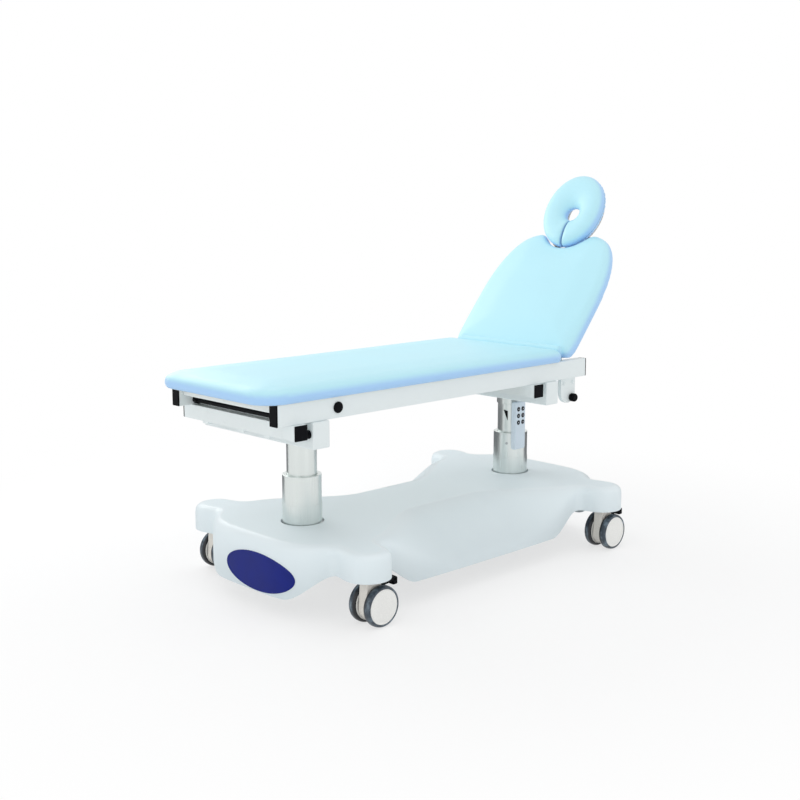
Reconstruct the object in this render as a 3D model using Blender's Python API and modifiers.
"""Examination couch on two lifting columns, modelled in metres with +Z up.

+X runs along the couch to the head end and -Y faces the side with the handset. The wheels
stand on z = 0. Every piece is one named object. A piece that moves hangs from an empty that
lies on its joint's axis.
"""

import bisect
import math

import bmesh
import bpy
from mathutils import Vector

NAME = "examination_couch"

# Clearances
GAP = 0.0003                    # between pieces that are fastened together
RUNNING = 0.0004                # round a pin, stem or axle that turns
SLIDING = 0.0007                # between the stages of a column

OVERRUN = 0.010                 # a cutter runs this far past the face that it opens

# Facets round a turned piece
TUBE_SIDES = 32
WHEEL_SIDES = 24
KNOB_SIDES = 24
PIN_SIDES = 14

# Castors
CASTOR_X = 0.565                # swivel axis, from the middle of the base
CASTOR_Y = 0.378
CASTOR_TRAIL = 0.020            # axle behind the swivel axis
WHEEL_DIAMETER = 0.125
WHEEL_WIDTH = 0.028
TYRE_EDGE = 0.006
DISC_RADIUS = 0.054             # pale disc that fills the wheel's side
DISC_RECESS = 0.0015
HOOD_WIDTH = 0.034              # housing between the two wheels
HOOD_RADIUS = 0.050
HOOD_NECK = 0.042
HOOD_TOP = 0.140
HOOD_EDGE = 0.003
HOOD_FRONT_ANGLE = 200          # where the round of the hood meets the neck, in degrees
HOOD_BACK_ANGLE = 400
WHEEL_SIDE_GAP = 0.0008
AXLE_RADIUS = 0.008
STEM_RADIUS = 0.011
STEM_LENGTH = 0.050
PEDAL_HUB = 0.007
PEDAL_REACH = 0.056
PEDAL_RISE = 0.006
PEDAL_THICK = 0.006
PEDAL_WIDTH = 0.030
PEDAL_EDGE = 0.0015

# Base cover and the chassis under it
COVER_TOP = 0.232
COVER_WALL = 0.004
COVER_HALF_LENGTH = 0.720       # out to the rounded noses
COVER_HALF_WIDTH = 0.350        # out to the flanks, between the ears
COVER_SQUARENESS = 4.0          # exponent of the outline between the ears
COVER_POINTS = 124
COVER_STEP = 0.003              # the outline is traced in steps of this and then thinned out
EAR_DENSITY = 2.6               # points are this much closer together round the ears
EAR_X = CASTOR_X                # each ear is centred over its castor
EAR_Y = CASTOR_Y - 0.006
EAR_RADIUS = 0.072
EAR_BLEND = 0.060               # fillet between an ear and the walls beside it
EDGE_ROUND = 0.026              # rounded top edge of ears and noses
WAIST_HALF_WIDTH = 0.130        # flat top at its narrowest
WAIST_END = 0.130               # where the flat top starts to widen, and where it is full
FLARE_END = 0.520
EAR_SKIRT = 0.150               # height of the lower edge above the floor
FLANK_SKIRT = 0.074
NOSE_SKIRT = 0.060
SKIRT_RISE_START = 0.105        # distance from an ear where the lower edge starts to dip
SKIRT_RISE_END = 0.225
COVER_HOLE_GAP = 0.006          # open ring round each column
CHASSIS_BOTTOM = 0.150
CHASSIS_BAR = 0.040             # height and width of the chassis bars
CHASSIS_BAR_Y = 0.100
CHASSIS_BAR_WALL = 0.004
CHASSIS_ARM = 0.060
SOCKET_WALL = 0.010
SOCKET_BOTTOM = HOOD_TOP + 0.0005

# Lifting columns
COLUMN_X = 0.501                # from the middle of the base
COLUMN_FOOT = 0.080
OUTER_TUBE_RADIUS = 0.063
MIDDLE_TUBE_RADIUS = 0.0593
INNER_TUBE_RADIUS = 0.0478
TUBE_WALL = 0.003
OUTER_TUBE_TOP = 0.292
MIDDLE_TUBE_BOTTOM = 0.130
MIDDLE_TUBE_TOP = 0.384
INNER_TUBE_BOTTOM = 0.235
SPINDLE_RADIUS = 0.012          # lifting screw that stands in the outer tube
SPINDLE_TOP = 0.430
GUIDE_HEIGHT = 0.035            # bush at the top of the middle tube
FLANGE_RADIUS = 0.115
FLANGE_THICK = 0.008
HEAD_COLLAR = 0.004             # the column head stands this far proud of its tube
HEAD_COLLAR_LENGTH = 0.116      # below the rails
HEAD_PLATE_LENGTH = 0.110
HEAD_PLATE_WIDTH = 0.200
HEAD_PLATE_THICK = 0.010

# Couch frame
RAIL_TOP = 0.669
RAIL_HEIGHT = 0.063
RAIL_WIDTH = 0.033
RAIL_WALL = 0.0025
FRAME_WIDTH = 0.517
RAIL_FOOT_END = -0.796
RAIL_HEAD_END = 0.604
CAP_THICK = 0.005
CAP_INSERT = 0.014
CAP_EDGE = 0.001
CROSS_TUBE = 0.045              # square tubes that pass under the rails
CROSS_TUBE_WALL = 0.003
CROSS_TUBE_OVERHANG = 0.0135    # past the outer faces of the rails
FRONT_TUBE_X = -0.727
REAR_TUBE_X = 0.325
BEAM_LENGTH = 0.064             # box beams beside the square tubes
BEAM_HEIGHT = 0.080
BEAM_OVERHANG = 0.0095
BEAM_EDGE = 0.003
FRONT_BEAM_X = -0.645
REAR_BEAM_X = 0.408
SPINE_WIDTH = 0.080
SPINE_HEIGHT = 0.030
SPINE_WALL = 0.003
SPINE_FOOT_END = -0.700
SPINE_HEAD_END = 0.580
CROSSBAR_X = -0.770
CROSSBAR_LENGTH = 0.030
CROSSBAR_HEIGHT = 0.030
CROSSBAR_EDGE = 0.007
FOOT_ROD_X = -0.738
FOOT_ROD_RISE = 0.016           # above the lower face of the rails
FOOT_ROD_RADIUS = 0.0075
FOOT_ROD_COLLAR = 0.011
FOOT_ROD_COLLAR_LENGTH = 0.018
PLUG_X = -0.574
PLUG_RADIUS = 0.017
PLUG_HEAD = 0.007
PLUG_SHANK_RADIUS = 0.010
PLUG_SHANK_LENGTH = 0.012

# Accessory clamp under the near rail, at the head end
CLAMP_X = 0.522
CLAMP_WIDTH = 0.080
CLAMP_DROP = 0.090
CLAMP_THICK = 0.014
CLAMP_INSET = 0.0185            # from the rail's outer face to the middle of the plate
CLAMP_KNOB_OFFSET = 0.018       # along the couch, from the middle of the plate
CLAMP_KNOB_DROP = 0.0717        # below the rail
CLAMP_SHANK_RADIUS = 0.006
CLAMP_SHANK_LENGTH = 0.024
CLAMP_KNOB_RADIUS = 0.014
CLAMP_KNOB_LENGTH = 0.022
CLAMP_KNOB_EDGE = 0.003

# Cushions
CUSHION_WIDTH = 0.560
CUSHION_THICK = 0.050
CUSHION_CROWN = 0.006
SEAT_FOOT_END = -0.862
SEAT_FOOT_CORNER = 0.095
SEAT_HINGE_CORNER = 0.030
BOARD_THICK = 0.012
BOARD_INSET = 0.016

# Backrest, drawn flat from its hinge axis and then raised
HINGE_X = 0.498
HINGE_SWEEP = 0.0300            # reach of the cushion's hinge end round the axis
BACK_ANGLE = 50.0
BACK_START = -0.022             # cushion's hinge end, from the axis
BACK_SHOULDER = 0.200           # where the sides start to curve in
BACK_END = 0.500
BACK_TOP_HALF = 0.125
BACK_CORNER = 0.040
BOARD_START = 0.018
BACK_BAR_SIDE_GAP = 0.0005      # between a hinge lug and the side bar of the backrest's frame
BACK_BAR_THICK = 0.008
BACK_BAR_HEIGHT = 0.020
BACK_BAR_END = 0.400
BACK_CROSS_NEAR = 0.090
BACK_CROSS_FAR = 0.375
BACK_CROSS_WIDTH = 0.025
HINGE_EYE_RADIUS = 0.012
HINGE_PIN_RADIUS = 0.006
LUG_THICK = 0.008
LUG_DROP = 0.075                # from the axis down the inside of the rail
LUG_SLOT_GAP = 0.0025

# Headrest, in the backrest's flat frame
HEAD_CENTRE = 0.612
HEAD_REST_TILT = 12.0           # forward of the backrest's own plane
HEAD_HALF_LENGTH = 0.148
HEAD_HALF_WIDTH = 0.130
HEAD_RING_WIDTH = 0.090         # of the padded ring, across its section
HEAD_THICK = 0.066
HEAD_SLIT = 0.005
HEAD_SCOOP_GAP = 0.010
HEAD_STEPS = 40
HEAD_SECTION = 14
HEAD_PLATE = 0.008
HEAD_PLATE_INSET = 0.022
HEAD_HOLE_HALF_LENGTH = 0.060
HEAD_HOLE_HALF_WIDTH = 0.048
FORK_Y = 0.060
FORK_ROD_RADIUS = 0.006
FORK_ROD_DROP = 0.043           # rod axis below the cushion's middle plane
FORK_START = 0.290
FORK_PIVOT = 0.498
FORK_BAR_RADIUS = 0.007
FORK_BAR_REACH = 0.086
GUIDE_START = 0.280
GUIDE_END = 0.440
GUIDE_WALL = 0.0022
HEAD_EAR_Y = 0.076
HEAD_EAR_THICK = 0.008
HEAD_EAR_RADIUS = 0.013
HEAD_EAR_LENGTH = 0.040

# Handset that hangs on the rear column's head
HANDSET_OFFSET = -0.046         # along the couch, from the column's axis
HANDSET_WIDTH = 0.058
HANDSET_THICK = 0.022
HANDSET_LENGTH = 0.175
HANDSET_DROP = 0.099            # below the rails
HANDSET_STAND_OFF = 0.0132      # between the column's head and the handset's back
HANDSET_EDGE = 0.006
HANDSET_LIFT = 0.015
HOOK_WIDTH = 0.014
HOOK_THICK = 0.003
HOOK_PEG_DROP = 0.015           # below the handset's top
HOOK_PEG_LENGTH = 0.013
BUTTON_RADIUS = 0.0058
BUTTON_DEPTH = 0.0026           # of the pocket in the handset
BUTTON_PROUD = 0.0012
BUTTON_TRAVEL = 0.0010
BUTTON_COLUMNS = (-0.012, 0.012)
BUTTON_FIRST_ROW = 0.026        # below the handset's top
BUTTON_ROW_STEP = 0.0245
BUTTON_ROWS = 3

# Places that follow from the sizes above
WHEEL_RADIUS = WHEEL_DIAMETER / 2
RAIL_BOTTOM = RAIL_TOP - RAIL_HEIGHT
RAIL_OUTER_Y = FRAME_WIDTH / 2
RAIL_INNER_Y = RAIL_OUTER_Y - RAIL_WIDTH
CROSS_TUBE_REACH = RAIL_OUTER_Y + CROSS_TUBE_OVERHANG
BEAM_REACH = RAIL_OUTER_Y + BEAM_OVERHANG
CLAMP_Y = RAIL_OUTER_Y - CLAMP_INSET
BACK_BAR_Y = RAIL_INNER_Y - LUG_THICK - BACK_BAR_SIDE_GAP - BACK_BAR_THICK / 2
RAIL_MIDDLE_Z = RAIL_TOP - RAIL_HEIGHT / 2
UNDER_RAIL = RAIL_BOTTOM - GAP
FOOT_ROD_Z = RAIL_BOTTOM + FOOT_ROD_RISE
CLAMP_KNOB_X = CLAMP_X + CLAMP_KNOB_OFFSET
CLAMP_KNOB_Z = UNDER_RAIL - CLAMP_KNOB_DROP
HEAD_COLLAR_BOTTOM = RAIL_BOTTOM - HEAD_COLLAR_LENGTH
HANDSET_X = COLUMN_X + HANDSET_OFFSET
HANDSET_TOP = RAIL_BOTTOM - HANDSET_DROP
HANDSET_BACK_Y = -(INNER_TUBE_RADIUS + HEAD_COLLAR + HANDSET_STAND_OFF)
HOOK_PEG_Z = HANDSET_TOP - HOOK_PEG_DROP
CHASSIS_TOP = CHASSIS_BOTTOM + CHASSIS_BAR
COVER_UNDERSIDE = COVER_TOP - COVER_WALL
SPINE_BOTTOM = RAIL_BOTTOM + GAP
HEAD_PLATE_TOP = SPINE_BOTTOM - GAP
SEAT_BOTTOM = RAIL_TOP + GAP
HINGE_Z = RAIL_TOP + HINGE_SWEEP + GAP
SEAT_HINGE_END = HINGE_X - HINGE_SWEEP - 3 * GAP
CUSHION_HALF = CUSHION_THICK / 2
UNDER_BOARD = -CUSHION_HALF - GAP
HEAD_PLATE_BOTTOM = FORK_ROD_DROP - CUSHION_HALF  # above the axis that the headrest tilts on
HEAD_MIDDLE = HEAD_PLATE_BOTTOM + HEAD_PLATE + GAP + HEAD_THICK / 2
SCOOP_CENTRE = HEAD_CENTRE - HEAD_MIDDLE * math.sin(math.radians(HEAD_REST_TILT))


def clear_scene():
    for old in list(bpy.data.objects):
        bpy.data.objects.remove(old, do_unlink=True)


clear_scene()
PARTS = bpy.data.collections.new(NAME)
CUTTERS = bpy.data.collections.new(NAME + "_cutters")
bpy.context.scene.collection.children.link(PARTS)
bpy.context.scene.collection.children.link(CUTTERS)


def material(name, colour, roughness, metallic=0.0):
    made = bpy.data.materials.new(name)
    made.use_nodes = True
    shader = made.node_tree.nodes["Principled BSDF"]
    shader.inputs["Base Color"].default_value = (*colour, 1.0)
    shader.inputs["Roughness"].default_value = roughness
    shader.inputs["Metallic"].default_value = metallic
    made.diffuse_color = (*colour, 1.0)
    return made


VINYL = (0.52, 0.84, 0.97)
COVER_GREY = (0.76, 0.80, 0.83)
FRAME_WHITE = (0.78, 0.80, 0.79)
ALUMINIUM = (0.72, 0.75, 0.73)
BLACK = (0.012, 0.013, 0.016)
SLATE = (0.045, 0.055, 0.070)
DISC_WHITE = (0.87, 0.88, 0.88)
HANDSET_GREY = (0.66, 0.71, 0.80)
PLYWOOD = (0.55, 0.40, 0.24)


def finish_for(name, kind):
    finishes = {
        "vinyl": (VINYL, 0.45, 0.0),
        "cover": (COVER_GREY, 0.40, 0.0),
        "paint": (FRAME_WHITE, 0.35, 0.0),
        "aluminium": (ALUMINIUM, 0.30, 1.0),
        "steel": (ALUMINIUM, 0.45, 1.0),
        "black": (BLACK, 0.45, 0.0),
        "tyre": (SLATE, 0.60, 0.0),
        "hood": (DISC_WHITE, 0.50, 0.0),
        "handset": (HANDSET_GREY, 0.40, 0.0),
        "plywood": (PLYWOOD, 0.60, 0.0),
    }
    colour, roughness, metallic = finishes[kind]
    return material(name + "_" + kind, colour, roughness, metallic)


def empty(name, parent=None, at=(0, 0, 0), turn=(0, 0, 0)):
    made = bpy.data.objects.new(name, None)
    PARTS.objects.link(made)
    made.parent = parent
    made.location = at
    made.rotation_euler = turn
    return made


def place(name, mesh, parent, at=(0, 0, 0), turn=(0, 0, 0)):
    made = bpy.data.objects.new(name, mesh)
    PARTS.objects.link(made)
    made.parent = parent
    made.location = at
    made.rotation_euler = turn
    return made


def paint(piece, kind):
    piece.data.materials.clear()
    piece.data.materials.append(finish_for(piece.name, kind))
    piece.data.shade_smooth()
    piece.data.set_sharp_from_angle(angle=math.radians(35))
    return piece


def bevel(piece, width, segments=2):
    modifier = piece.modifiers.new("edges", "BEVEL")
    modifier.width = width
    modifier.segments = segments
    modifier.limit_method = "ANGLE"
    modifier.angle_limit = math.radians(40)


def helper(piece):
    """Put a piece that only shapes another one among the cutters."""
    PARTS.objects.unlink(piece)
    CUTTERS.objects.link(piece)
    piece.hide_render = True
    piece.display_type = "WIRE"
    return piece


def combine(target, tool, operation):
    modifier = target.modifiers.new(tool.name, "BOOLEAN")
    modifier.operation = operation
    modifier.solver = "EXACT"
    modifier.object = helper(tool)


def fuse(target, *tools):
    for tool in tools:
        combine(target, tool, "UNION")


def cut(target, *tools):
    for tool in tools:
        combine(target, tool, "DIFFERENCE")


def mesh_from(shape, name):
    bmesh.ops.recalc_face_normals(shape, faces=shape.faces)
    mesh = bpy.data.meshes.new(name)
    shape.to_mesh(mesh)
    shape.free()
    return mesh


def box(name, parent, low, high):
    """Box between two opposite corners, with its origin in the middle."""
    low = Vector(low)
    high = Vector(high)
    shape = bmesh.new()
    bmesh.ops.create_cube(shape, size=1.0)
    bmesh.ops.scale(shape, vec=high - low, verts=shape.verts)
    return place(name, mesh_from(shape, name), parent, (low + high) / 2)


def block(name, parent, middle, size):
    middle = Vector(middle)
    half = Vector(size) / 2
    return box(name, parent, middle - half, middle + half)


def rod(name, parent, start, end, radius, sides=PIN_SIDES):
    """Round bar between two points."""
    start = Vector(start)
    end = Vector(end)
    shape = bmesh.new()
    bmesh.ops.create_cone(shape, cap_ends=True, segments=sides, radius1=radius,
                          radius2=radius, depth=(end - start).length)
    made = place(name, mesh_from(shape, name), parent, (start + end) / 2)
    made.rotation_euler = (end - start).to_track_quat("Z", "Y").to_euler()
    return made


def turned(name, parent, profile, sides, at=(0, 0, 0), turn=(0, 0, 0)):
    """Profile of (radius, height) points, down the outside first, turned round Z.

    A profile that starts on the axis ends there too; any other one is a closed ring.
    """
    shape = bmesh.new()
    points = [shape.verts.new((radius, 0, height)) for radius, height in profile]
    ring_end = [] if profile[0][0] == 0 else points[:1]
    for first, second in zip(points, points[1:] + ring_end):
        shape.edges.new((first, second))
    mesh = bpy.data.meshes.new(name)
    shape.to_mesh(mesh)
    shape.free()
    made = place(name, mesh, parent, at, turn)
    screw = made.modifiers.new("turn", "SCREW")
    screw.steps = sides
    screw.render_steps = sides
    screw.use_merge_vertices = True
    screw.merge_threshold = 0.00001
    screw.use_smooth_shade = True
    return made


def prism(name, parent, outline, thickness, at=(0, 0, 0), turn=(0, 0, 0)):
    """Flat outline with a thickness, centred on its own plane."""
    curve = bpy.data.curves.new(name, "CURVE")
    curve.dimensions = "2D"
    curve.fill_mode = "BOTH"
    curve.extrude = thickness / 2
    spline = curve.splines.new("POLY")
    spline.points.add(len(outline) - 1)
    for point, (across, along) in zip(spline.points, outline):
        point.co = (across, along, 0, 1)
    spline.use_cyclic_u = True
    drawn = bpy.data.objects.new(name + "_curve", curve)
    CUTTERS.objects.link(drawn)
    graph = bpy.context.evaluated_depsgraph_get()
    mesh = bpy.data.meshes.new_from_object(drawn.evaluated_get(graph))
    bpy.data.objects.remove(drawn, do_unlink=True)
    shape = bmesh.new()
    shape.from_mesh(mesh)
    bmesh.ops.remove_doubles(shape, verts=shape.verts, dist=0.000001)
    return place(name, mesh_from(shape, name), parent, at, turn)


ON_EDGE = (math.pi / 2, 0, 0)   # turns an outline drawn in X and Y to stand in X and Z


def loft(name, parent, rings):
    """Skin over rings with the same number of points, closed by a face at each end."""
    shape = bmesh.new()
    rows = [[shape.verts.new(point) for point in ring] for ring in rings]
    for lower, upper in zip(rows, rows[1:]):
        for i, start in enumerate(lower):
            after = (i + 1) % len(lower)
            shape.faces.new((start, lower[after], upper[after], upper[i]))
    shape.faces.new(rows[0])
    shape.faces.new(rows[-1])
    return place(name, mesh_from(shape, name), parent)


def arc(centre, radius, start, end, steps):
    """Points of a circle between two angles in degrees."""
    points = []
    for i in range(steps + 1):
        angle = math.radians(start + (end - start) * i / steps)
        points.append((centre[0] + radius * math.cos(angle), centre[1] + radius * math.sin(angle)))
    return points


def smooth_step(value, low, high):
    share = min(max((value - low) / (high - low), 0.0), 1.0)
    return share * share * (3 - 2 * share)


def mix(first, second, share):
    return first + (second - first) * share


def offset_outline(outline, inset):
    """Outline moved inward along its own normals; the outline runs anticlockwise."""
    moved = []
    count = len(outline)
    for i, (x, y) in enumerate(outline):
        before = outline[i - 1]
        after = outline[(i + 1) % count]
        run = Vector((after[0] - before[0], after[1] - before[1])).normalized()
        moved.append((x - run.y * inset, y + run.x * inset))
    return moved


# Padded pieces

# Share of the thickness and inset of the cover there, from the seam underneath to the top edge
CUSHION_SIDE = (
    (0.00, 0.009),
    (0.14, 0.002),
    (0.38, 0.000),
    (0.62, 0.0015),
    (0.82, 0.007),
    (0.94, 0.015),
    (1.00, 0.028),
)
CUSHION_CROWN_STEPS = (0.86, 0.62, 0.32)        # sizes of the rings over the crown


def cushion(name, parent, outline, middle, bottom):
    """Cushion with drawn-in sides and a crowned top over an outline."""
    rings = []
    for share, inset in CUSHION_SIDE:
        height = bottom + share * CUSHION_THICK
        rings.append([(x, y, height) for x, y in offset_outline(outline, inset)])
    edge = rings[-1]
    for size in CUSHION_CROWN_STEPS:
        height = bottom + CUSHION_THICK + CUSHION_CROWN * (1 - size * size)
        ring = [(mix(middle, x, size), y * size, height) for x, y, edge_height in edge]
        rings.append(ring)
    return loft(name, parent, rings)


def rounded_rectangle(left, right, half_width, left_corner, right_corner, steps=7):
    outline = []
    outline += arc((right - right_corner, half_width - right_corner), right_corner, 0, 90, steps)
    outline += arc((left + left_corner, half_width - left_corner), left_corner, 90, 180, steps)
    outline += arc((left + left_corner, left_corner - half_width), left_corner, 180, 270, steps)
    outline += arc((right - right_corner, right_corner - half_width), right_corner, 270, 360, steps)
    return outline


def seat_outline():
    return rounded_rectangle(SEAT_FOOT_END, SEAT_HINGE_END, CUSHION_WIDTH / 2,
                             SEAT_FOOT_CORNER, SEAT_HINGE_CORNER)


def back_side(start, steps=12):
    """One long side of the backrest, from its hinge end up to the scoop for the headrest."""
    half_width = CUSHION_WIDTH / 2
    side = arc((start + BACK_CORNER, half_width - BACK_CORNER), BACK_CORNER, 180, 90, 5)
    rise = BACK_END - BACK_SHOULDER
    for i in range(steps + 1):
        angle = math.radians(90 * i / steps)
        side.append((BACK_SHOULDER + rise * math.sin(angle),
                     BACK_TOP_HALF + (half_width - BACK_TOP_HALF) * math.cos(angle)))
    return side


def scoop(steps=12):
    """Hollow in the backrest's top edge that the headrest sits in, from +Y to -Y."""
    long_axis = HEAD_HALF_LENGTH + HEAD_SCOOP_GAP
    wide_axis = HEAD_HALF_WIDTH + HEAD_SCOOP_GAP
    depth = (SCOOP_CENTRE - BACK_END + HEAD_SCOOP_GAP / 2) / long_axis
    limit = math.degrees(math.acos(depth))
    hollow = []
    for i in range(steps + 1):
        angle = math.radians(180 - limit + 2 * limit * i / steps)
        hollow.append((SCOOP_CENTRE + long_axis * math.cos(angle), wide_axis * math.sin(angle)))
    return hollow


def soften(outline, passes=1):
    """Round the corners of an outline by averaging each point with its neighbours."""
    for _ in range(passes):
        count = len(outline)
        outline = [((outline[i - 1][0] + 2 * outline[i][0] + outline[(i + 1) % count][0]) / 4,
                    (outline[i - 1][1] + 2 * outline[i][1] + outline[(i + 1) % count][1]) / 4)
                   for i in range(count)]
    return outline


def back_outline(start):
    upper = back_side(start)
    lower = [(x, -y) for x, y in reversed(upper)]
    clockwise = upper + scoop() + lower
    return soften(list(reversed(clockwise)))


def pocketed(padding, outline, bottom, parent):
    """Hollow the underside of a cushion for the board that it is stretched over."""
    height = BOARD_THICK + GAP
    pocket = prism(padding.name + "_pocket", parent, offset_outline(outline, BOARD_INSET - GAP),
                   2 * height, (0, 0, bottom))
    cut(padding, pocket)


# Castors

def castor(name, parent, x, y):
    foot = empty(name, parent, (x, y, 0))
    centre = (CASTOR_TRAIL, WHEEL_RADIUS)
    outline = arc(centre, HOOD_RADIUS, HOOD_FRONT_ANGLE, HOOD_BACK_ANGLE, 14)
    edge_end = outline[-1]
    neck = HOOD_NECK / 2
    outline += [(neck, HOOD_TOP), (-neck, HOOD_TOP)]
    hood = prism(name + "_hood", foot, outline, HOOD_WIDTH, turn=ON_EDGE)
    bevel(hood, HOOD_EDGE, 1)
    stem = rod(name + "_stem", foot, (0, 0, HOOD_TOP - HOOD_EDGE), (0, 0, HOOD_TOP + STEM_LENGTH),
               STEM_RADIUS)
    reach = HOOD_WIDTH / 2 + WHEEL_SIDE_GAP + WHEEL_WIDTH - 2 * DISC_RECESS
    axle = rod(name + "_axle", foot, (CASTOR_TRAIL, -reach, WHEEL_RADIUS),
               (CASTOR_TRAIL, reach, WHEEL_RADIUS), AXLE_RADIUS)
    fuse(hood, stem, axle)
    paint(hood, "hood")

    bore = AXLE_RADIUS + RUNNING
    half = WHEEL_WIDTH / 2
    profile = [
        (bore, half - DISC_RECESS),
        (DISC_RADIUS, half - DISC_RECESS),
        (DISC_RADIUS, half),
        (WHEEL_RADIUS - TYRE_EDGE, half),
        (WHEEL_RADIUS, half - TYRE_EDGE),
        (WHEEL_RADIUS, TYRE_EDGE - half),
        (WHEEL_RADIUS - TYRE_EDGE, -half),
        (bore, -half),
    ]
    middle = HOOD_WIDTH / 2 + WHEEL_SIDE_GAP + half
    for side, word in ((-1, "near"), (1, "far")):
        wheel = turned(name + "_wheel_" + word, foot, profile, WHEEL_SIDES,
                       (CASTOR_TRAIL, side * middle, WHEEL_RADIUS), (-side * math.pi / 2, 0, 0))
        paint(wheel, "tyre")

    edge = Vector((neck - edge_end[0], HOOD_TOP - edge_end[1]))
    outward = Vector((edge.y, -edge.x)).normalized()
    pivot = Vector(edge_end) + edge / 2 + outward * (PEDAL_HUB + 2 * GAP)
    hinge = empty(name + "_pedal_axis", foot, (pivot.x, 0, pivot.y))
    lever = arc((0, 0), PEDAL_HUB, 90, 270, 8)
    lever += [(PEDAL_REACH, PEDAL_RISE - PEDAL_THICK), (PEDAL_REACH, PEDAL_RISE)]
    pedal = prism(name + "_pedal", hinge, lever, PEDAL_WIDTH, turn=ON_EDGE)
    bevel(pedal, PEDAL_EDGE, 1)
    paint(pedal, "black")


# Base

def ear_distance(x, y):
    return math.hypot(abs(x) - EAR_X, abs(y) - EAR_Y)


def cover_distance(x, y):
    """Signed distance, near enough, to the base cover's outline seen from above."""
    power = COVER_SQUARENESS
    reach = (abs(x / COVER_HALF_LENGTH) ** power + abs(y / COVER_HALF_WIDTH) ** power) ** (1 / power)
    body = (reach - 1) * COVER_HALF_WIDTH
    ear = ear_distance(x, y) - EAR_RADIUS
    share = min(max(0.5 + (ear - body) / (2 * EAR_BLEND), 0.0), 1.0)
    return mix(ear, body, share) - EAR_BLEND * share * (1 - share)


def outward_slope(spot):
    """How fast the distance to the outline grows along X and Y."""
    reach = COVER_STEP / 2
    return Vector((cover_distance(spot.x + reach, spot.y) - cover_distance(spot.x - reach, spot.y),
                   cover_distance(spot.x, spot.y + reach) - cover_distance(spot.x, spot.y - reach)))


def traced_outline():
    """Closely spaced points of the cover's outline: a quarter walked from nose to flank, mirrored."""
    quarter = []
    spot = Vector((COVER_HALF_LENGTH, 0))
    while spot.x > 0:
        quarter.append(spot)
        outward = outward_slope(spot).normalized()
        spot = spot + Vector((-outward.y, outward.x)) * COVER_STEP
        for _ in range(4):
            outward = outward_slope(spot)
            spot = spot - outward * cover_distance(*spot) * COVER_STEP / outward.length_squared
    back = list(reversed(quarter))
    traced = list(quarter)
    traced += [Vector((-spot.x, spot.y)) for spot in back]
    traced += [Vector((-spot.x, -spot.y)) for spot in quarter]
    traced += [Vector((spot.x, -spot.y)) for spot in back]
    return traced


def cover_outline():
    """Outline of the cover, with its points closest together round the ears."""
    traced = traced_outline()
    walked = [0.0]
    for before, after in zip(traced, traced[1:] + traced[:1]):
        away = smooth_step(ear_distance(*before), EAR_RADIUS + EAR_BLEND / 2, 3 * EAR_RADIUS)
        walked.append(walked[-1] + (after - before).length * mix(EAR_DENSITY, 1.0, away))
    outline = []
    for i in range(COVER_POINTS):
        goal = walked[-1] * (i + 0.5) / COVER_POINTS
        step = bisect.bisect_right(walked, goal) - 1
        share = (goal - walked[step]) / (walked[step + 1] - walked[step])
        outline.append(tuple(traced[step].lerp(traced[(step + 1) % len(traced)], share)))
    return outline


# Share of the way out and down, ring by ring, for a rounded upright wall and for a sloping flank
UPRIGHT_WALL = ((0, 0), (0.38, 0.03), (0.70, 0.09), (0.92, 0.18), (1, 0.32), (1, 1))
SLOPING_FLANK = ((0, 0), (0.06, 0.02), (0.34, 0.24), (0.68, 0.55), (0.93, 0.82), (1, 1))


def cover_rings():
    outline = cover_outline()
    inner = offset_outline(outline, EDGE_ROUND)
    rings = [[] for _ in UPRIGHT_WALL]
    for (x, y), (edge_x, edge_y) in zip(outline, inner):
        flank = 1 - smooth_step(abs(x), WAIST_END, FLARE_END)
        draw_in = flank * (COVER_HALF_WIDTH - EDGE_ROUND - WAIST_HALF_WIDTH)
        edge_y -= math.copysign(draw_in, y)
        ear = ear_distance(x, y)
        lobe = mix(NOSE_SKIRT, FLANK_SKIRT, smooth_step(abs(y), EAR_Y / 2, EAR_Y))
        skirt = mix(EAR_SKIRT, lobe, smooth_step(ear, SKIRT_RISE_START, SKIRT_RISE_END))
        for ring, upright, sloping in zip(rings, UPRIGHT_WALL, SLOPING_FLANK):
            out = mix(upright[0], sloping[0], flank)
            down = mix(upright[1], sloping[1], flank)
            ring.append((mix(edge_x, x, out), mix(edge_y, y, out), mix(COVER_TOP, skirt, down)))
    return rings


def base_cover(parent):
    """Moulded cover: flat waisted top, sloping flanks, four ears and lobed skirts."""
    rings = cover_rings()
    shape = bmesh.new()
    rows = [[shape.verts.new(point) for point in ring] for ring in rings]
    shape.faces.new(rows[0])
    for upper, lower in zip(rows, rows[1:]):
        for i, start in enumerate(upper):
            after = (i + 1) % len(upper)
            shape.faces.new((start, lower[i], lower[after], upper[after]))
    cover = place("base_cover", mesh_from(shape, "base_cover"), parent)
    shell = cover.modifiers.new("wall", "SOLIDIFY")
    shell.thickness = COVER_WALL
    shell.offset = -1
    for side, word in ((-1, "foot"), (1, "head")):
        x = side * COLUMN_X
        hole = rod("cover_hole_" + word, parent, (x, 0, COVER_UNDERSIDE - OVERRUN), (x, 0, COVER_TOP + OVERRUN),
                   OUTER_TUBE_RADIUS + COVER_HOLE_GAP, TUBE_SIDES)
        cut(cover, hole)
    paint(cover, "cover")


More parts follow.
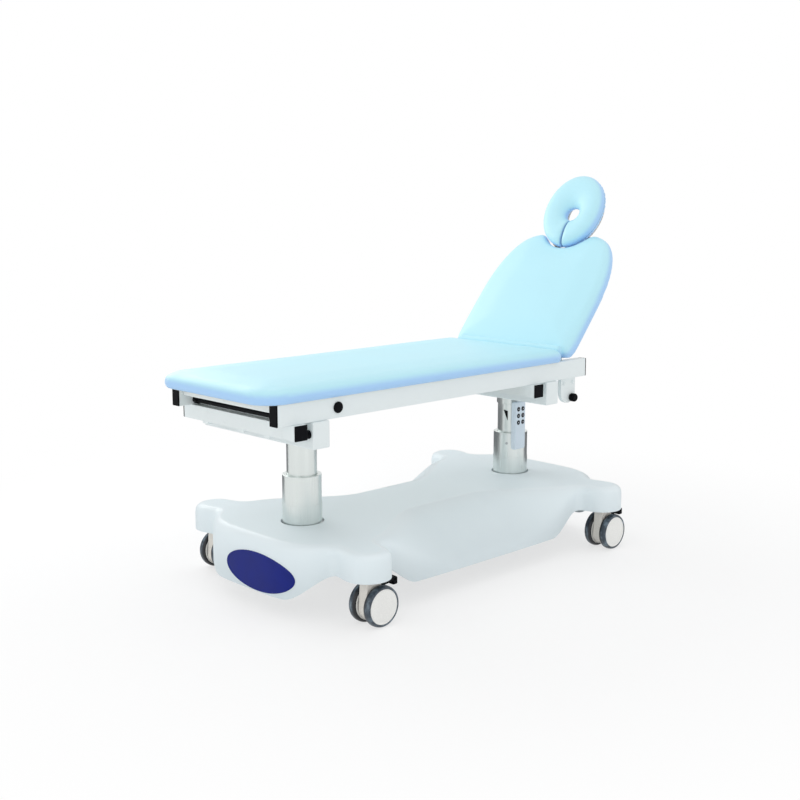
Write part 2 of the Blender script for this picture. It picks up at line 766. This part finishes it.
def chassis(parent):
    """Welded bars under the cover, with a socket over each castor."""
    half = CHASSIS_BAR / 2
    hollow = half - CHASSIS_BAR_WALL
    reach = CASTOR_X + CHASSIS_ARM / 2
    bars = []
    bores = []
    for side, word in ((-1, "near"), (1, "far")):
        middle = Vector((0, side * CHASSIS_BAR_Y, (CHASSIS_BOTTOM + CHASSIS_TOP) / 2))
        bars.append(block("chassis_bar_" + word, parent, middle, (2 * reach, 2 * half, 2 * half)))
        bores.append(block("chassis_bar_bore_" + word, parent, middle,
                           (2 * (reach + OVERRUN), 2 * hollow, 2 * hollow)))
    frame = bars[0]
    frame.name = "base_chassis"
    fuse(frame, bars[1])
    bridge = box("chassis_bridge", parent, (-half, -CHASSIS_BAR_Y, CHASSIS_BOTTOM + half / 2),
                 (half, CHASSIS_BAR_Y, CHASSIS_TOP - half / 2))
    fuse(frame, bridge)
    for x in (-CASTOR_X, CASTOR_X):
        for side in (-1, 1):
            word = "%s_%s" % ("foot" if x < 0 else "head", "near" if side < 0 else "far")
            y = side * CASTOR_Y
            bar_edge = side * CHASSIS_BAR_Y
            arm = box("chassis_arm_" + word, parent,
                      (x - CHASSIS_ARM / 2 + half / 4, min(y, bar_edge), CHASSIS_BOTTOM + half / 4),
                      (x + CHASSIS_ARM / 2 - half / 4, max(y, bar_edge), CHASSIS_TOP - half / 4))
            socket = rod("chassis_socket_" + word, parent, (x, y, SOCKET_BOTTOM),
                         (x, y, COVER_UNDERSIDE - GAP), STEM_RADIUS + RUNNING + SOCKET_WALL, KNOB_SIDES)
            fuse(frame, arm, socket)
            bores.append(rod("chassis_bore_" + word, parent, (x, y, SOCKET_BOTTOM - OVERRUN),
                             (x, y, HOOD_TOP + STEM_LENGTH + RUNNING), STEM_RADIUS + RUNNING))
    cut(frame, *bores)
    paint(frame, "steel")


# Lifting columns

def column_stages(word, x, base, middle_stage, couch):
    outer_bore = OUTER_TUBE_RADIUS - TUBE_WALL
    flange = CHASSIS_TOP + GAP
    foot = COLUMN_FOOT + FLANGE_THICK / 2
    outer = turned("column_outer_" + word, base, [
        (0, SPINDLE_TOP),
        (SPINDLE_RADIUS, SPINDLE_TOP),
        (SPINDLE_RADIUS, foot),
        (outer_bore, foot),
        (outer_bore, OUTER_TUBE_TOP),
        (OUTER_TUBE_RADIUS, OUTER_TUBE_TOP),
        (OUTER_TUBE_RADIUS, flange + FLANGE_THICK),
        (FLANGE_RADIUS, flange + FLANGE_THICK),
        (FLANGE_RADIUS, flange),
        (OUTER_TUBE_RADIUS, flange),
        (OUTER_TUBE_RADIUS, COLUMN_FOOT),
        (0, COLUMN_FOOT),
    ], TUBE_SIDES, (x, 0, 0))
    paint(outer, "aluminium")

    middle_bore = MIDDLE_TUBE_RADIUS - TUBE_WALL
    guide_bore = INNER_TUBE_RADIUS + SLIDING
    middle = turned("column_middle_" + word, middle_stage, [
        (guide_bore, MIDDLE_TUBE_TOP),
        (MIDDLE_TUBE_RADIUS, MIDDLE_TUBE_TOP),
        (MIDDLE_TUBE_RADIUS, MIDDLE_TUBE_BOTTOM),
        (middle_bore, MIDDLE_TUBE_BOTTOM),
        (middle_bore, MIDDLE_TUBE_TOP - GUIDE_HEIGHT),
        (guide_bore, MIDDLE_TUBE_TOP - GUIDE_HEIGHT),
    ], TUBE_SIDES, (x, 0, 0))
    paint(middle, "aluminium")

    inner_bore = INNER_TUBE_RADIUS - TUBE_WALL
    head_radius = INNER_TUBE_RADIUS + HEAD_COLLAR
    plate_bottom = HEAD_PLATE_TOP - HEAD_PLATE_THICK
    inner = turned("column_inner_" + word, couch, [
        (inner_bore, plate_bottom + HEAD_PLATE_THICK / 2),
        (head_radius, plate_bottom + HEAD_PLATE_THICK / 2),
        (head_radius, HEAD_COLLAR_BOTTOM),
        (INNER_TUBE_RADIUS, HEAD_COLLAR_BOTTOM),
        (INNER_TUBE_RADIUS, INNER_TUBE_BOTTOM),
        (inner_bore, INNER_TUBE_BOTTOM),
    ], TUBE_SIDES, (x, 0, 0))
    plate = block("column_head_plate_" + word, couch, (x, 0, HEAD_PLATE_TOP - HEAD_PLATE_THICK / 2),
                  (HEAD_PLATE_LENGTH, HEAD_PLATE_WIDTH, HEAD_PLATE_THICK))
    fuse(inner, plate)
    return inner


def handset_hook(inner, couch):
    """Strip with a peg, welded to the rear column's head plate, that the handset hangs on."""
    back = HANDSET_BACK_Y + HOOK_THICK + 4 * GAP
    strip = box("handset_hook", couch,
                (HANDSET_X - HOOK_WIDTH / 2, back - HOOK_THICK, HOOK_PEG_Z),
                (HANDSET_X + HOOK_WIDTH / 2, back, HEAD_PLATE_TOP - HEAD_PLATE_THICK / 2))
    peg = box("handset_peg", couch,
              (HANDSET_X - HOOK_WIDTH / 2, HANDSET_BACK_Y - HOOK_PEG_LENGTH, HOOK_PEG_Z),
              (HANDSET_X + HOOK_WIDTH / 2, back, HOOK_PEG_Z + HOOK_THICK))
    fuse(inner, strip, peg)


# Couch frame

def rail(word, side, couch):
    middle = side * (RAIL_OUTER_Y - RAIL_WIDTH / 2)
    half = RAIL_WIDTH / 2
    made = box("side_rail_" + word, couch, (RAIL_FOOT_END, middle - half, RAIL_BOTTOM),
               (RAIL_HEAD_END, middle + half, RAIL_TOP))
    bore = box("rail_bore_" + word, couch,
               (RAIL_FOOT_END - OVERRUN, middle - half + RAIL_WALL, RAIL_BOTTOM + RAIL_WALL),
               (RAIL_HEAD_END + OVERRUN, middle + half - RAIL_WALL, RAIL_TOP - RAIL_WALL))
    lug_outline = [(HINGE_EYE_RADIUS, -LUG_DROP)]
    lug_outline += arc((0, 0), HINGE_EYE_RADIUS, 0, 180, 10)
    lug_outline += [(-HINGE_EYE_RADIUS, -LUG_DROP)]
    weld = RAIL_WALL / 2
    lug_middle = side * (RAIL_INNER_Y - LUG_THICK / 2 + weld / 2)
    lug = prism("hinge_lug_" + word, couch, lug_outline, LUG_THICK + weld,
                (HINGE_X, lug_middle, HINGE_Z), ON_EDGE)
    pin = rod("hinge_pin_" + word, couch, (HINGE_X, side * (RAIL_INNER_Y - weld), HINGE_Z),
              (HINGE_X, side * (BACK_BAR_Y - BACK_BAR_THICK), HINGE_Z), HINGE_PIN_RADIUS)
    cut(made, bore)
    fuse(made, lug, pin)
    if side < 0:
        hole = rod("plug_hole", couch, (PLUG_X, side * (RAIL_OUTER_Y + OVERRUN), RAIL_MIDDLE_Z),
                   (PLUG_X, side * (RAIL_OUTER_Y - 3 * RAIL_WALL), RAIL_MIDDLE_Z),
                   PLUG_SHANK_RADIUS + GAP)
        cut(made, hole)
    paint(made, "paint")
    for end, x, along in (("foot", RAIL_FOOT_END, -1), ("head", RAIL_HEAD_END, 1)):
        rail_cap("rail_cap_%s_%s" % (end, word), couch, x, along, middle)


def rail_cap(name, couch, x, along, middle):
    face = x + along * GAP
    plate = block(name, couch, (face + along * CAP_THICK / 2, middle, RAIL_MIDDLE_Z),
                  (CAP_THICK, RAIL_WIDTH, RAIL_HEIGHT))
    bevel(plate, CAP_EDGE, 1)
    fit = 2 * (RAIL_WALL + GAP)
    insert = block(name + "_insert", couch, (x - along * (CAP_INSERT / 2 - CAP_THICK / 2), middle,
                                             RAIL_MIDDLE_Z),
                   (CAP_INSERT + CAP_THICK, RAIL_WIDTH - fit, RAIL_HEIGHT - fit))
    fuse(plate, insert)
    paint(plate, "black")


def cross_tube(word, x, couch):
    half = CROSS_TUBE / 2
    middle_z = UNDER_RAIL - half
    made = box("cross_tube_" + word, couch, (x - half, -CROSS_TUBE_REACH, middle_z - half),
               (x + half, CROSS_TUBE_REACH, middle_z + half))
    hollow = half - CROSS_TUBE_WALL
    bore = box("cross_tube_bore_" + word, couch,
               (x - hollow, -CROSS_TUBE_REACH - OVERRUN, middle_z - hollow),
               (x + hollow, CROSS_TUBE_REACH + OVERRUN, middle_z + hollow))
    cut(made, bore)
    paint(made, "paint")
    for side, end in ((-1, "near"), (1, "far")):
        face = side * (CROSS_TUBE_REACH + GAP)
        cap = block("cross_tube_cap_%s_%s" % (word, end), couch,
                    (x, face + side * CAP_THICK / 2, middle_z), (CROSS_TUBE, CAP_THICK, CROSS_TUBE))
        bevel(cap, CAP_EDGE, 1)
        size = 2 * (hollow - GAP)
        insert = block(cap.name + "_insert", couch,
                       (x, face - side * (CAP_INSERT / 2 - CAP_THICK / 2), middle_z),
                       (size, CAP_INSERT + CAP_THICK, size))
        fuse(cap, insert)
        paint(cap, "black")


def box_beam(word, x, couch):
    made = block("box_beam_" + word, couch, (x, 0, UNDER_RAIL - BEAM_HEIGHT / 2),
                 (BEAM_LENGTH, 2 * BEAM_REACH, BEAM_HEIGHT))
    bevel(made, BEAM_EDGE)
    paint(made, "paint")


def foot_end(couch):
    reach = RAIL_INNER_Y - GAP
    crossbar = box("foot_crossbar", couch,
                   (CROSSBAR_X - CROSSBAR_LENGTH / 2, -reach, RAIL_TOP - GAP - CROSSBAR_HEIGHT),
                   (CROSSBAR_X + CROSSBAR_LENGTH / 2, reach, RAIL_TOP - GAP))
    bevel(crossbar, CROSSBAR_EDGE, 3)
    paint(crossbar, "paint")
    inner = reach - FOOT_ROD_COLLAR_LENGTH
    bar = turned("foot_rod", couch, [
        (0, reach),
        (FOOT_ROD_COLLAR, reach),
        (FOOT_ROD_COLLAR, inner),
        (FOOT_ROD_RADIUS, inner),
        (FOOT_ROD_RADIUS, -inner),
        (FOOT_ROD_COLLAR, -inner),
        (FOOT_ROD_COLLAR, -reach),
        (0, -reach),
    ], PIN_SIDES, (FOOT_ROD_X, 0, FOOT_ROD_Z), ON_EDGE)
    paint(bar, "black")
    spine = box("spine", couch, (SPINE_FOOT_END, -SPINE_WIDTH / 2, SPINE_BOTTOM),
                (SPINE_HEAD_END, SPINE_WIDTH / 2, SPINE_BOTTOM + SPINE_HEIGHT))
    hollow = SPINE_WIDTH / 2 - SPINE_WALL
    cut(spine, box("spine_bore", couch,
                   (SPINE_FOOT_END - OVERRUN, -hollow, SPINE_BOTTOM + SPINE_WALL),
                   (SPINE_HEAD_END + OVERRUN, hollow, SPINE_BOTTOM + SPINE_HEIGHT - SPINE_WALL)))
    paint(spine, "paint")


def rail_plug(couch):
    face = RAIL_OUTER_Y + GAP
    plug = turned("rail_plug", couch, [
        (0, PLUG_HEAD),
        (PLUG_RADIUS - PLUG_HEAD / 3, PLUG_HEAD),
        (PLUG_RADIUS, PLUG_HEAD * 2 / 3),
        (PLUG_RADIUS, 0),
        (PLUG_SHANK_RADIUS, 0),
        (PLUG_SHANK_RADIUS, -PLUG_SHANK_LENGTH),
        (0, -PLUG_SHANK_LENGTH),
    ], KNOB_SIDES, (PLUG_X, -face, RAIL_MIDDLE_Z), ON_EDGE)
    paint(plug, "black")


def accessory_clamp(couch):
    """Plate under the near rail with a screw knob that grips a pole or an arm support."""
    half = CLAMP_WIDTH / 2
    outline = [(half, 0), (-half, 0)]
    outline += arc((0, half - CLAMP_DROP), half, 180, 360, 14)
    plate = prism("clamp_plate", couch, outline, CLAMP_THICK, (CLAMP_X, -CLAMP_Y, UNDER_RAIL), ON_EDGE)
    hole = rod("clamp_hole", couch, (CLAMP_KNOB_X, CLAMP_THICK - CLAMP_Y, CLAMP_KNOB_Z),
               (CLAMP_KNOB_X, -CLAMP_THICK - CLAMP_Y, CLAMP_KNOB_Z), CLAMP_SHANK_RADIUS + RUNNING)
    cut(plate, hole)
    paint(plate, "paint")
    axis = empty("clamp_axis", couch, (CLAMP_KNOB_X, -CLAMP_Y - CLAMP_THICK / 2 - GAP, CLAMP_KNOB_Z))
    knob = turned("clamp_knob", axis, [
        (0, CLAMP_KNOB_LENGTH),
        (CLAMP_KNOB_RADIUS - CLAMP_KNOB_EDGE, CLAMP_KNOB_LENGTH),
        (CLAMP_KNOB_RADIUS, CLAMP_KNOB_LENGTH - CLAMP_KNOB_EDGE),
        (CLAMP_KNOB_RADIUS, 0),
        (CLAMP_SHANK_RADIUS, 0),
        (CLAMP_SHANK_RADIUS, -CLAMP_SHANK_LENGTH),
        (0, -CLAMP_SHANK_LENGTH),
    ], PIN_SIDES, turn=ON_EDGE)
    paint(knob, "black")


def seat(couch):
    outline = seat_outline()
    board = prism("seat_board", couch, offset_outline(outline, BOARD_INSET), BOARD_THICK,
                  (0, 0, SEAT_BOTTOM + BOARD_THICK / 2))
    paint(board, "plywood")
    padding = cushion("seat_cushion", couch, outline, (SEAT_FOOT_END + SEAT_HINGE_END) / 2, SEAT_BOTTOM)
    pocketed(padding, outline, SEAT_BOTTOM, couch)
    paint(padding, "vinyl")


# Backrest and headrest, in the flat frame of the hinge's empty

def backrest(hinge):
    outline = back_outline(BACK_START)
    board_outline = offset_outline(back_outline(BOARD_START - BOARD_INSET), BOARD_INSET)
    board = prism("backrest_board", hinge, board_outline, BOARD_THICK,
                  (0, 0, BOARD_THICK / 2 - CUSHION_HALF))
    paint(board, "plywood")
    padding = cushion("backrest_cushion", hinge, outline, BACK_END / 2, -CUSHION_HALF)
    pocketed(padding, back_outline(BOARD_START - BOARD_INSET), -CUSHION_HALF, hinge)
    slot = HINGE_EYE_RADIUS + LUG_SLOT_GAP
    for side, word in ((-1, "near"), (1, "far")):
        inner = side * (BACK_BAR_Y - BACK_BAR_THICK - LUG_SLOT_GAP)
        outer = side * (RAIL_INNER_Y + LUG_SLOT_GAP)
        cutter = box("hinge_slot_" + word, hinge, (-CUSHION_THICK, min(inner, outer), -CUSHION_THICK),
                     (slot, max(inner, outer), slot))
        cut(padding, cutter)
    paint(padding, "vinyl")


def backrest_frame(hinge):
    """Two side bars with hinge eyes, two cross bars and the headrest's guide tubes."""
    low = UNDER_BOARD - BACK_BAR_HEIGHT
    eye = HINGE_EYE_RADIUS
    outline = [(BACK_BAR_END, UNDER_BOARD), (eye, UNDER_BOARD)]
    outline += arc((0, 0), eye, 0, 180, 10)
    outline += [(-eye, low / 2), (eye, low), (BACK_BAR_END, low)]
    bars = []
    for side, word in ((-1, "near"), (1, "far")):
        bars.append(prism("backrest_bar_" + word, hinge, outline, BACK_BAR_THICK,
                          (0, side * BACK_BAR_Y, 0), ON_EDGE))
    frame = bars[0]
    frame.name = "backrest_frame"
    fuse(frame, bars[1])
    for word, along in (("near", BACK_CROSS_NEAR), ("far", BACK_CROSS_FAR)):
        fuse(frame, box("backrest_cross_" + word, hinge,
                        (along - BACK_CROSS_WIDTH / 2, -BACK_BAR_Y, low + GAP),
                        (along + BACK_CROSS_WIDTH / 2, BACK_BAR_Y, UNDER_BOARD - GAP)))
    guide_bore = FORK_ROD_RADIUS + RUNNING
    bores = [rod("hinge_eye_bore", hinge, (0, -2 * BACK_BAR_Y, 0), (0, 2 * BACK_BAR_Y, 0),
                 HINGE_PIN_RADIUS + RUNNING)]
    for side, word in ((-1, "near"), (1, "far")):
        y = side * FORK_Y
        fuse(frame, rod("guide_tube_" + word, hinge, (GUIDE_START, y, -FORK_ROD_DROP),
                        (GUIDE_END, y, -FORK_ROD_DROP), guide_bore + GUIDE_WALL))
        bores.append(rod("guide_bore_" + word, hinge, (GUIDE_START - OVERRUN, y, -FORK_ROD_DROP),
                         (GUIDE_END + OVERRUN, y, -FORK_ROD_DROP), guide_bore))
    cut(frame, *bores)
    paint(frame, "steel")


def headrest_fork(slide):
    """Two rods that slide in the backrest, joined by the round bar that the headrest tilts on."""
    bar = rod("headrest_fork", slide, (FORK_PIVOT, -FORK_BAR_REACH, -FORK_ROD_DROP),
              (FORK_PIVOT, FORK_BAR_REACH, -FORK_ROD_DROP), FORK_BAR_RADIUS)
    for side, word in ((-1, "near"), (1, "far")):
        y = side * FORK_Y
        fuse(bar, rod("fork_rod_" + word, slide, (FORK_START, y, -FORK_ROD_DROP),
                      (FORK_PIVOT, y, -FORK_ROD_DROP), FORK_ROD_RADIUS))
    paint(bar, "steel")


def ellipse(half_length, half_width, steps=40):
    return [(half_length * math.cos(2 * math.pi * i / steps), half_width * math.sin(2 * math.pi * i / steps))
            for i in range(steps)]


def headrest(tilt):
    """Padded ring with a face hole, slit at the bottom, on a ring plate with two pivot ears."""
    centre = HEAD_CENTRE - FORK_PIVOT
    plate_middle = HEAD_PLATE_BOTTOM + HEAD_PLATE / 2
    plate = prism("headrest_plate", tilt,
                  ellipse(HEAD_HALF_LENGTH - HEAD_PLATE_INSET, HEAD_HALF_WIDTH - HEAD_PLATE_INSET),
                  HEAD_PLATE, (centre, 0, plate_middle))
    opening = prism("headrest_opening", tilt, ellipse(HEAD_HOLE_HALF_LENGTH, HEAD_HOLE_HALF_WIDTH),
                    3 * HEAD_PLATE, (centre, 0, plate_middle))
    cut(plate, opening)
    ear_outline = arc((0, 0), HEAD_EAR_RADIUS, 180, 360, 10)
    ear_outline += [(HEAD_EAR_LENGTH, plate_middle), (-HEAD_EAR_RADIUS / 2, plate_middle)]
    for side, word in ((-1, "near"), (1, "far")):
        fuse(plate, prism("headrest_ear_" + word, tilt, ear_outline, HEAD_EAR_THICK,
                          (0, side * HEAD_EAR_Y, 0), ON_EDGE))
    cut(plate, rod("headrest_ear_bore", tilt, (0, -2 * HEAD_EAR_Y, 0), (0, 2 * HEAD_EAR_Y, 0),
                   FORK_BAR_RADIUS + RUNNING))
    paint(plate, "steel")

    half_section = HEAD_RING_WIDTH / 2
    path_length = HEAD_HALF_LENGTH - half_section
    path_width = HEAD_HALF_WIDTH - half_section
    slit = math.degrees(math.asin(HEAD_SLIT / 2 / path_width))
    rings = []
    for i in range(HEAD_STEPS + 1):
        turn = math.radians(180 + slit + (360 - 2 * slit) * i / HEAD_STEPS)
        middle = Vector((path_length * math.cos(turn), path_width * math.sin(turn)))
        outward = Vector((math.cos(turn) / path_length, math.sin(turn) / path_width)).normalized()
        ring = []
        for j in range(HEAD_SECTION):
            angle = 2 * math.pi * (j + 0.5) / HEAD_SECTION
            across = math.copysign(abs(math.cos(angle)) ** 0.75, math.cos(angle)) * half_section
            up = math.copysign(abs(math.sin(angle)) ** 0.75, math.sin(angle)) * HEAD_THICK / 2
            spot = middle + outward * across
            ring.append((centre + spot.x, spot.y, HEAD_MIDDLE + up))
        rings.append(ring)
    paint(loft("headrest_cushion", tilt, rings), "vinyl")


# Handset

def handset(couch):
    lift = empty("handset_axis", couch, (HANDSET_X, HANDSET_BACK_Y, HANDSET_TOP))
    half = HANDSET_WIDTH / 2
    body = box("handset", lift, (-half, -HANDSET_THICK, -HANDSET_LENGTH), (half, 0, 0))
    bevel(body, HANDSET_EDGE, 2)
    recess_half = HOOK_WIDTH / 2 + 2 * GAP
    peg_top = HOOK_PEG_Z + HOOK_THICK - HANDSET_TOP
    recess = box("handset_recess", lift,
                 (-recess_half, -HOOK_PEG_LENGTH - 2 * GAP, peg_top + GAP - HANDSET_LIFT - 3 * HOOK_THICK),
                 (recess_half, HOOK_THICK, peg_top + GAP))
    cut(body, recess)
    face = -HANDSET_THICK
    for row in range(BUTTON_ROWS):
        for column, across in enumerate(BUTTON_COLUMNS):
            name = "button_%d_%d" % (row + 1, column + 1)
            height = -BUTTON_FIRST_ROW - row * BUTTON_ROW_STEP
            pocket = rod(name + "_pocket", lift, (across, face - OVERRUN, height),
                         (across, face + BUTTON_DEPTH, height), BUTTON_RADIUS + GAP)
            cut(body, pocket)
            seat_at = face + BUTTON_DEPTH - BUTTON_TRAVEL - GAP
            key = rod(name, lift, (across, seat_at, height), (across, face - BUTTON_PROUD, height),
                      BUTTON_RADIUS)
            paint(key, "black")
    paint(body, "handset")


def build():
    root = empty(NAME + "_root")
    base = empty("base_axis", root)
    middle_stage = empty("middle_stage_axis", root)
    couch = empty("lift_axis", root)
    base_cover(base)
    chassis(base)
    for end, x in (("foot", -CASTOR_X), ("head", CASTOR_X)):
        for word, y in (("near", -CASTOR_Y), ("far", CASTOR_Y)):
            castor("castor_%s_%s" % (end, word), base, x, y)
    paint(column_stages("foot", -COLUMN_X, base, middle_stage, couch), "aluminium")
    rear = column_stages("head", COLUMN_X, base, middle_stage, couch)
    handset_hook(rear, couch)
    paint(rear, "aluminium")
    rail("near", -1, couch)
    rail("far", 1, couch)
    cross_tube("foot", FRONT_TUBE_X, couch)
    cross_tube("head", REAR_TUBE_X, couch)
    box_beam("foot", FRONT_BEAM_X, couch)
    box_beam("head", REAR_BEAM_X, couch)
    foot_end(couch)
    rail_plug(couch)
    accessory_clamp(couch)
    seat(couch)
    hinge = empty("backrest_axis", couch, (HINGE_X, 0, HINGE_Z), (0, -math.radians(BACK_ANGLE), 0))
    backrest_frame(hinge)
    backrest(hinge)
    headrest_fork(hinge)
    tilt = empty("headrest_axis", hinge, (FORK_PIVOT, 0, -FORK_ROD_DROP),
                 (0, -math.radians(HEAD_REST_TILT), 0))
    headrest(tilt)
    handset(couch)
    centre_on_origin(root)


def centre_on_origin(root):
    """Shift the couch along X so that the origin lies under the middle of its length."""
    bpy.context.view_layer.update()
    graph = bpy.context.evaluated_depsgraph_get()
    reach = []
    for piece in PARTS.objects:
        if piece.type == "MESH":
            seen = piece.evaluated_get(graph)
            reach += [(seen.matrix_world @ vertex.co).x for vertex in seen.data.vertices]
    root.location.x = -(min(reach) + max(reach)) / 2
    bpy.context.view_layer.update()


build()
